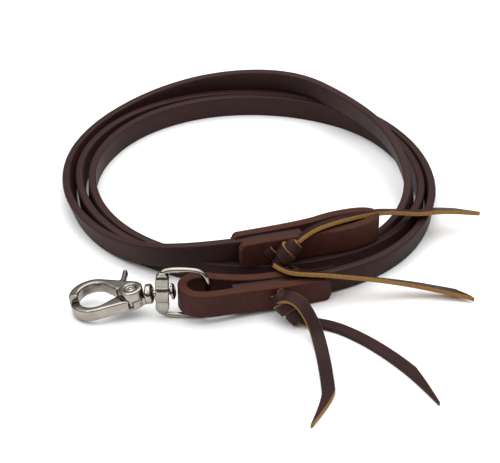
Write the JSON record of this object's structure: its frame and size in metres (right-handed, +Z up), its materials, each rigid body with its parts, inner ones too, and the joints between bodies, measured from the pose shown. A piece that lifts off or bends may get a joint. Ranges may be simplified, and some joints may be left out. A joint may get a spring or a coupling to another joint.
{
  "type": "leather reins",
  "caption": "Long leather rein strap stored on edge in a loose coil, with laced end loops, a swivel dee and a scissor snap for the bit.",
  "frame": {"origin": "on the surface it rests on, under the middle of the bounding box", "axes": "+Z up from the resting surface, +Y from the front tails towards the back of the coil, +X from the snap towards the right of the coil"},
  "size_m": [0.2743, 0.3776, 0.0358],
  "materials": {
    "rein_leather": "oiled burgundy-brown harness leather, soft sheen",
    "loop_leather": "waxed reddish-brown harness leather with raw cut edges",
    "lace_leather": "oily latigo lace, dark grain side and tan flesh side",
    "nickel_plate": "tumbled bright nickel plate",
    "spring_steel": "drawn spring wire"
  },
  "bodies": {
    "rein": {"rein_strap": "rein_leather", "bit_end_loop": "loop_leather", "snap_end_loop": "loop_leather", "bit_lace_stitch": "lace_leather", "bit_lace_knot": "lace_leather", "bit_lace_upper_tail": "lace_leather", "bit_lace_lower_tail": "lace_leather", "snap_lace_stitch": "lace_leather", "snap_lace_knot": "lace_leather", "snap_lace_front_tail": "lace_leather", "snap_lace_side_tail": "lace_leather"},
    "dee": {"swivel_dee": "nickel_plate"},
    "snap": {"snap_body": "nickel_plate", "swivel_rivet": "nickel_plate", "jaw_rivet": "nickel_plate", "trigger_spring": "spring_steel"},
    "trigger": {"trigger_jaw": "nickel_plate"}
  },
  "joints": [
    {"name": "dee_swing", "type": "hinge", "parent": "rein", "child": "dee", "pos_m": [-0.038, -0.076, 0.017], "axis": [0, 0, 1], "range_deg": [-14, 4]},
    {"name": "snap_swivel", "type": "hinge", "parent": "dee", "child": "snap", "pos_m": [-0.0655, -0.076, 0.017], "axis": [1, 0, 0], "continuous": true},
    {"name": "trigger", "type": "hinge", "parent": "snap", "child": "trigger", "pos_m": [-0.0841, -0.07437, 0.01347], "axis": [0.185, -0.0162, -0.9826], "range_deg": [0, 25], "stiffness_Nm_per_rad": 0.05, "springref_deg": -20.05}
  ]
}
